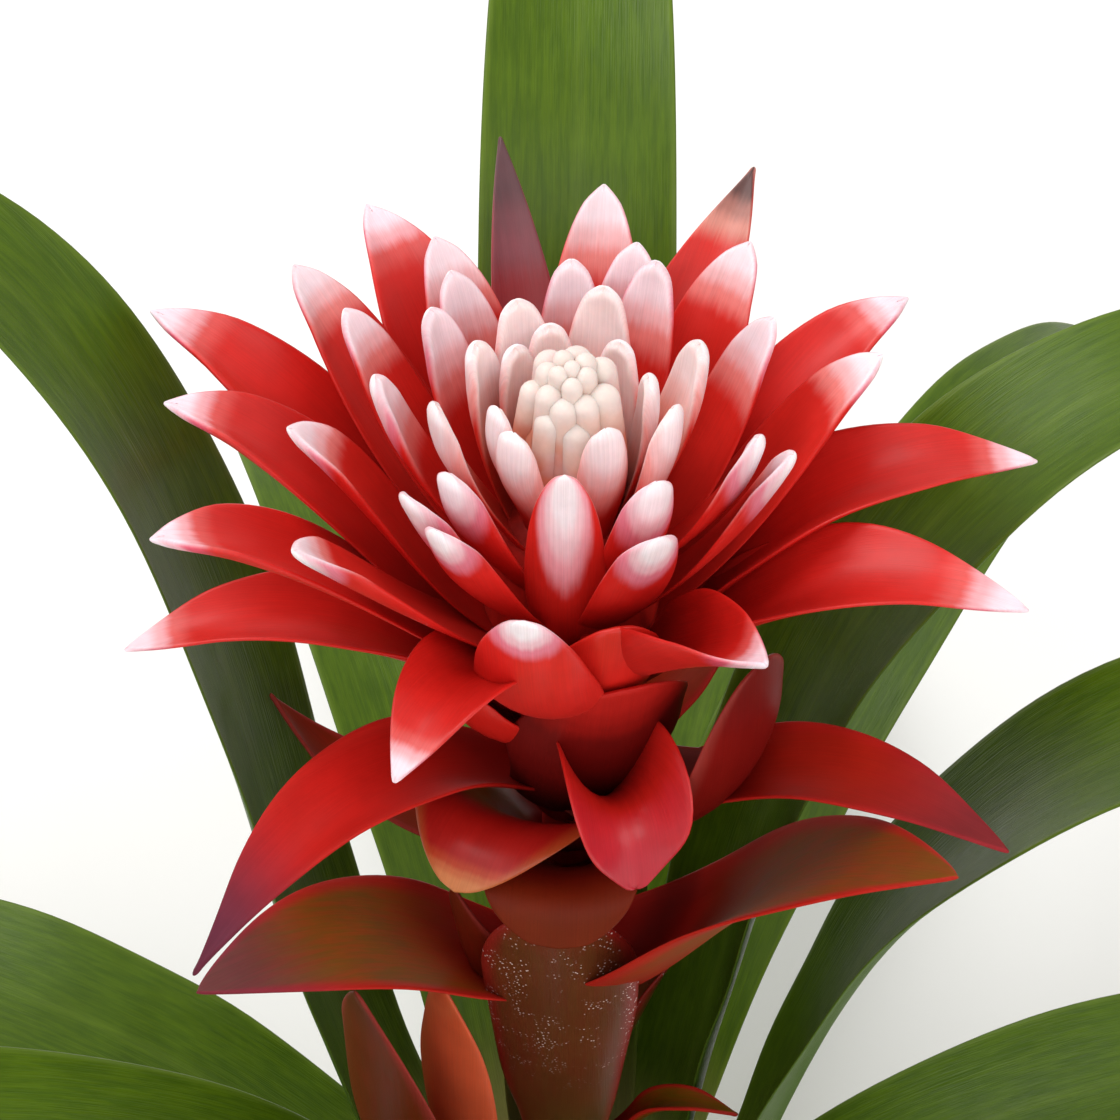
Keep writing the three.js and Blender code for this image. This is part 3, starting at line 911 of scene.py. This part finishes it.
@dataclass(frozen=True)
class Tier:
    """A ring of bracts of the head. Each tip is an azimuth and a reach from the axis."""

    root_height: float
    tip_height: float
    width: float
    root_lean: float
    tip_lean: float
    roundness: float
    pale_reach: float
    finish: BractFinish
    tips: tuple[Pair, ...]

    def blade(self, number: int) -> Blade:
        """Shapes one bract of the tier.

        Args:
            number: Its place in the list of tips.

        Returns:
            Its blade.
        """
        azimuth, reach = self.tips[number]
        root, tip = (7, self.root_height), (reach, self.tip_height)
        plump = 2.6 if self.width < 14 else 2.0
        uneven = 0.85 + 0.3 * math.sin(azimuth * 2.3) ** 2
        return Blade(
            azimuth=azimuth,
            midline=BractMidline(root, tip, self.root_lean, self.tip_lean),
            half_width=bract_half_width(
                self.width, root_share=0.8, belly=0.55, roundness=self.roundness, tip_width=1.2
            ),
            lift=lambda t: self.width / 7 * smoothstep(t, 0.3, 1.0) * (1 - 0.7 * smoothstep(t, 0.85, 1.0)),
            thickness=lambda t: lerp(1.1, plump, smoothstep(t, 0.35, 0.85)),
            marks=Marks(pale_reach=self.pale_reach * uneven, seed=azimuth / 60 + reach),
            rows=34,
            columns=28,
            edge=0.7,
            tip_round=0.05,
            base_height=CONE_TOP,
        )


@dataclass(frozen=True)
class Bract:
    """A large bract of the head or one of the stalk's. Root and tip are each a radius and a height."""

    azimuth: float
    root: Pair
    tip: Pair
    root_lean: float
    tip_lean: float
    width: float
    finish: BractFinish = OUTER
    lift: float = 4.0
    pull: float = 0.45
    roundness: float = 0.85
    root_share: float = 0.85
    belly: float = 0.5
    pale_reach: float = 7.0
    olive: float = 0.0
    dusk: float = 0.0

    def blade(self, seed: float) -> Blade:
        """Shapes the bract.

        Args:
            seed: What its fine markings are shifted by.

        Returns:
            Its blade.
        """
        def lift(t: float) -> float:
            """Raises the edges above the root and lets them fall again towards the tip."""
            raised = self.lift * smoothstep(t, 0.05, 0.4) * (1 - 0.6 * smoothstep(t, 0.6, 1.0))
            return raised * (1 - 0.8 * smoothstep(t, 0.82, 1.0))

        return Blade(
            azimuth=self.azimuth,
            midline=BractMidline(self.root, self.tip, self.root_lean, self.tip_lean, self.pull, self.pull),
            half_width=bract_half_width(
                self.width, self.root_share, self.belly, self.roundness, tip_width=0.8
            ),
            lift=lift,
            thickness=lambda t: 1.15,
            marks=Marks(self.pale_reach, self.olive, self.dusk, seed),
            rows=44,
            columns=32,
            edge=0.5,
            ripple=0.35,
            ripple_waves=2.5,
            tip_round=0.012,
            base_height=CONE_TOP,
        )


@dataclass
class FlowerHead:
    """The inflorescence: the core, the tiers of bracts round the cone and the large bracts under them."""

    tiers: tuple[Tier, ...] = (
        Tier(-39, -2, 10.5, 8, -12, 0.4, 14, HEART,
             ((25, 13), (95, 13), (140, 13), (195, 15), (228, 13), (299, 14), (323, 16))),
        Tier(-44, 0, 13, 20, -2, 0.42, 14, HEART,
             ((62, 19), (109, 23), (166, 23), (207, 21), (246, 18), (290, 24))),
        Tier(-50, -1, 13, 32, 8, 0.45, 12, HEAD,
             ((28, 29), (64, 34), (154, 34), (180, 31), (234, 30), (270, 33), (320, 31))),
        Tier(-57, -3, 15, 40, 20, 0.5, 10.5, HEAD,
             ((21, 39), (65, 40), (117, 39), (163, 40), (215, 37), (243, 44), (315, 38), (328, 41))),
        Tier(-64, -5, 19, 46, 38, 0.6, 10, HEAD,
             ((101, 54), (142, 52), (174, 58), (210, 49), (235, 60), (280, 48), (310, 58))),
        Tier(-71, -8, 23, 46, 68, 0.8, 9, OUTER,
             ((116, 66), (214, 67), (251, 78), (269, 69), (295, 75))),
    )
    loose: tuple[Bract, ...] = (
        Bract(190, (5, -68), (76, -7), 46, 50, 14, SPINE, lift=2, pale_reach=9),
        Bract(153, (5, -71), (75, -8), 46, 58, 22, TAWNY, pull=0.4, roundness=1, pale_reach=9),
        Bract(95, (5, -73), (82, -27), 46, 100, 24),
        Bract(71, (5, -76), (81, -30), 48, 98, 25, pale_reach=9),
        Bract(30, (5, -68), (61, -15), 52, 52, 24, lift=9, pale_reach=8),
        Bract(-28, (5, -74), (62, -41), 46, 118, 22, pale_reach=5.5),
        Bract(-11, (6, -68), (41, -18), 70, 6, 25, HEAD, lift=3, roundness=0.5, pale_reach=5.5),
        Bract(13, (7, -68), (33, -28), 66, 10, 25, UNDER, lift=3, roundness=0.5),
        Bract(-3, (7, -60), (24, -1), 44, -6, 15, VEE, lift=2, pull=0.4, roundness=0.5, belly=0.6,
              pale_reach=17),
        Bract(51, (6, -98), (41, -44), 84, -4, 32, PLUM_SHADE, lift=2, pull=0.5, roundness=0.45, belly=0.6),
        Bract(16, (8, -104), (31, -46), 40, 16, 40, THROAT_SHADE, lift=2, pull=0.4, roundness=0.5, belly=0.6,
              pale_reach=10),
        Bract(-44, (7, -82), (33, -48), 66, 16, 24, UNDER, lift=3, roundness=0.6),
        Bract(15, (4, -112), (44, -84), 34, 168, 25, POCKET, lift=13, pull=0.6, roundness=0.6, belly=0.45),
        Bract(-27, (4, -120), (46, -87), 44, 135, 40, CUP, lift=1, pull=0.5, roundness=0.6, pale_reach=3.5),
        Bract(-3, (5, -126), (46, -97), 42, 160, 34, DOME, roundness=0.4, olive=0.3),
        Bract(-51, (5, -100), (86, -94), 46, 134, 23, LOW, pull=0.56, roundness=1.05, belly=0.35, dusk=0.9),
        Bract(62, (5, -109), (87, -76), 56, 108, 22, LOW, lift=3, pull=0.48, belly=0.45, dusk=0.4,
              olive=0.1),
        Bract(132, (5, -79), (74, -44), 50, 108, 22),
        Bract(162, (5, -84), (66, -38), 52, 92, 21),
        Bract(203, (5, -80), (70, -38), 50, 96, 21),
        Bract(232, (5, -85), (72, -56), 52, 114, 22),
        Bract(282, (5, -82), (80, -50), 50, 106, 21),
        Bract(208, (4, -108), (42, -88), 42, 96, 22, LOW, olive=0.3),
        Bract(130, (4, -116), (40, -92), 42, 90, 22, LOW, olive=0.3),
        Bract(-57, (4, -169), (82, -112), 44, 92, 38, LOW, lift=1, pull=0.4, belly=0.4, olive=0.9, dusk=0.7),
        Bract(47, (4, -168), (88, -59), 44, 60, 50, LOW, lift=1, pull=0.4, root_share=0.9, belly=0.3,
              olive=0.8),
        Bract(-48, (5, -186), (30, -112), 30, 8, 22, PLUM_SHADE, olive=0.3),
        Bract(254, (4, -130), (61, -98), 80, 30, 14, PLUM_SHADE, lift=2, roundness=1.1, olive=0.4),
        Bract(140, (4, -156), (32, -122), 24, 60, 23, LOW, olive=0.6),
        Bract(-4, (5, -240), (35, -102), 20, 6, 32, STALK_BRACT, lift=1, roundness=0.45, root_share=0.45,
              belly=0.85, olive=0.4),
        Bract(-42, (5, -226), (38, -130), 70, 6, 23, SALMON, lift=2, root_share=0.8, belly=0.6),
        Bract(-49, (5, -238), (54, -124), 66, 8, 40, PLUM_SHADE, lift=2, pull=0.5, root_share=0.6, belly=0.6,
              olive=0.5),
        Bract(62, (5, -226), (40, -190), 40, 84, 9, LOW, lift=2, olive=1),
        Bract(205, (5, -196), (30, -146), 26, 30, 24, STALK_BRACT, olive=0.6),
        Bract(110, (5, -206), (30, -152), 26, 34, 24, STALK_BRACT, olive=0.6),
    )

    def build(self) -> None:
        """Makes the core, a piece of each tier and one of each large bract."""
        nodes, slot = ["head_bracts"], Slot.RED_BRACT
        foot = SCAPE_CUT - CONE_TOP
        stalk = ((0, foot), (SCAPE_RADIUS, foot), (SCAPE_RADIUS, -112))
        core = (*stalk, (9, -92), (15, -70), (16, -50), (13, -34), (0, -29))
        bm = bmesh.new()
        turned(bm, [(r, z + CONE_TOP) for r, z in core], sides=48)
        make_piece("head_core", bm, CORE, nodes)
        for order, tier in enumerate(self.tiers):
            bm = bladed(tier.blade(number) for number in range(len(tier.tips)))
            make_piece(f"head_tier_{order + 1}", bm, tier.finish, nodes)
        for order, bract in enumerate(self.loose):
            bm = bladed([bract.blade(seed=order * 1.7)])
            make_piece(f"large_bract_{order + 1:02d}", bm, bract.finish, nodes)


@dataclass(frozen=True)
class Bud:
    """A blunt bud of the cone: where its tip stands, how wide it is and how high it reaches."""

    azimuth: float
    reach: float
    width: float
    top: float

    def add_to(self, bm: Mesh, layer: bmesh.types.BMLayerItem) -> None:
        """Adds the bud to the cone's mesh.

        Args:
            bm: The cone's mesh.
            layer: Where each point keeps its share of the bud's length.
        """
        length = 6 + 0.4 * self.width
        lean = math.radians(1.2 * self.reach)
        outwards, sideways = around(self.azimuth, 1.0, 0.0), around(self.azimuth + 90, 1.0, 0.0)
        verts = bmesh.ops.create_uvsphere(bm, u_segments=24, v_segments=20, radius=1.0)["verts"]
        for vert in verts:
            along = vert.co.z
            share = 0.5 + math.copysign(0.3, along) + 0.2 * along
            vert[layer] = Vector((share, self.azimuth, self.reach))
            keel = 1.0 + 0.05 * math.cos(2 * math.atan2(vert.co.y, vert.co.x) + self.azimuth)
            girth = self.width / 2 * keel
            blunt = along * girth + math.copysign(length - girth, along)
            out = vert.co.x * girth * math.cos(lean) - blunt * math.sin(lean) + self.reach
            height = blunt * math.cos(lean) + vert.co.x * girth * math.sin(lean) + self.top - length
            point = outwards * out + sideways * vert.co.y * girth + Vector((0, 0, height + CONE_TOP))
            vert.co = point * MILLIMETRE


@dataclass
class CreamCone:
    """The centre cone: blunt buds crowded round a heart."""

    buds: tuple[Bud, ...] = (
        Bud(0, 0.6, 3, 2.6), Bud(-60, 3, 3.4, 2), Bud(60, 3.2, 3.6, 1.8), Bud(0, 3.6, 3.8, 1),
        Bud(130, 3.4, 4, 2), Bud(-150, 3.2, 3.8, 2.2), Bud(-100, 4.6, 4.2, 1), Bud(-50, 5.6, 4.6, -0.6),
        Bud(-15, 6.2, 4.8, -1.8), Bud(25, 6, 4.8, -1.4), Bud(62, 6.8, 5.4, -0.8), Bud(172, 6, 5.2, 0.6),
        Bud(120, 6.4, 5.2, 0.2), Bud(-140, 6.6, 5.2, 0.4), Bud(-85, 7.4, 4.8, -2), Bud(-35, 7.4, 5, -4.5),
        Bud(5, 7.6, 5.4, -5.5),
    )

    def build(self) -> None:
        """Makes the cone in one piece."""
        bm = bmesh.new()
        layer = vector_layer(bm, "place")
        heart = ((0, -26), (9.5, -26), (8.5, -12), (4, -3), (0, -1))
        turned(bm, [(r, z + CONE_TOP) for r, z in heart], sides=24)
        for bud in self.buds:
            bud.add_to(bm, layer)
        make_piece("cone_buds", bm, CONE_CREAM, ["head_cone"])


@dataclass
class Stalk:
    """The stock and scape, and the lowest bracts that clasp the scape."""

    bracts: tuple[Bract, ...] = (
        Bract(170, (6.55, -252), (15, -224), 14, 18, 15, STALK_BRACT, root_share=0.6, olive=0.8),
        Bract(35, (6.55, -258), (15, -229), 14, 18, 15, STALK_BRACT, root_share=0.6, olive=0.8),
        Bract(255, (6.55, -264), (15, -234), 14, 18, 15, STALK_BRACT, root_share=0.6, olive=0.9),
        Bract(122, (6.55, -270), (15, -240), 14, 16, 15, STALK_BRACT, root_share=0.6, olive=0.9),
    )

    def build(self) -> None:
        """Makes the stem and a piece of each bract."""
        top = SCAPE_CUT - CLEARANCE
        profile = ((0, 0), (24, 0), (8, 36), (SCAPE_RADIUS, 48), (SCAPE_RADIUS, top), (0, top))
        bm = bmesh.new()
        turned(bm, profile, sides=64)
        make_piece("stock_and_scape", bm, STOCK, ["stem"])
        for order, bract in enumerate(self.bracts):
            label, bm = f"{order + 1:02d}", bladed([bract.blade(seed=40 + order * 1.3)])
            nodes = [f"stalk_bract_{label}"]
            make_piece(f"scape_bract_{label}", bm, bract.finish, nodes)


# The studio


@dataclass
class Studio:
    """A pale floor, soft lights behind, at the side and in front, and the camera at the picture's angle."""

    camera_place: tuple[float, float, float] = (-0.0020, -0.3545, 0.6302)
    camera_tilt: float = 45.0
    focal_length: float = 90.64
    sensor_width: float = 36.0
    lit_height: float = 0.25
    sky_strength: float = 0.7
    floor_half: float = 6.0

    def build(self) -> None:
        """Sets up the floor, the lights, the sky and the camera."""
        self._floor()
        self._area("key_light", (-0.6, 0.35, 1.25), size=0.9, power=10.0)
        self._area("fill_light", (0.9, -0.7, 0.9), size=1.0, power=5.0)
        self._area("front_light", (-0.2, -0.9, 1.1), size=0.8, power=4.2)
        world = bpy.data.worlds.new("studio_sky")
        world.use_nodes = True
        background = world.node_tree.nodes["Background"]
        background.inputs["Color"].default_value = (1.0, 0.99, 0.975, 1.0)
        background.inputs["Strength"].default_value = self.sky_strength
        bpy.context.scene.world = world
        bpy.context.scene.view_settings.view_transform = "Standard"
        self._camera()

    def _floor(self) -> None:
        """Lays the pale floor."""
        bm = bmesh.new()
        bmesh.ops.create_grid(bm, x_segments=2, y_segments=2, size=self.floor_half)
        mesh = bpy.data.meshes.new("floor")
        bm.to_mesh(mesh)
        bm.free()
        material = bpy.data.materials.new("pale_floor")
        material.use_nodes = True
        shader = material.node_tree.nodes["Principled BSDF"]
        shader.inputs["Base Color"].default_value = (0.93, 0.92, 0.90, 1.0)
        shader.inputs["Roughness"].default_value = 0.9
        mesh.materials.append(material)
        floor = placed("floor", mesh)

    def _area(self, name: str, place: tuple[float, float, float], size: float, power: float) -> None:
        """Hangs a soft square light that faces the flower head.

        Args:
            name: Name of the light.
            place: Where it hangs, in metres.
            size: Side of the square, in metres.
            power: Power in watts.
        """
        data = bpy.data.lights.new(name, "AREA")
        data.energy = power
        data.size = size
        light = placed(name, data)
        light.location = place
        aim = Vector((0.0, 0.0, self.lit_height)) - Vector(place)
        light.rotation_euler = aim.to_track_quat("-Z", "Y").to_euler()

    def _camera(self) -> None:
        """Sets the camera that looks down on the flower head."""
        data = bpy.data.cameras.new("camera")
        data.lens = self.focal_length
        data.sensor_width = self.sensor_width
        data.clip_start, data.clip_end = 0.02, 20.0
        camera = placed("camera", data)
        camera.location = self.camera_place
        camera.rotation_euler = (math.radians(self.camera_tilt), 0.0, 0.0)
        bpy.context.scene.camera = camera


def main() -> None:
    """Builds the plant's parts in order, then the studio."""
    Stalk().build()
    LeafRosette().build()
    FlowerHead().build()
    CreamCone().build()
    Studio().build()


if __name__ == "__main__":
    main()
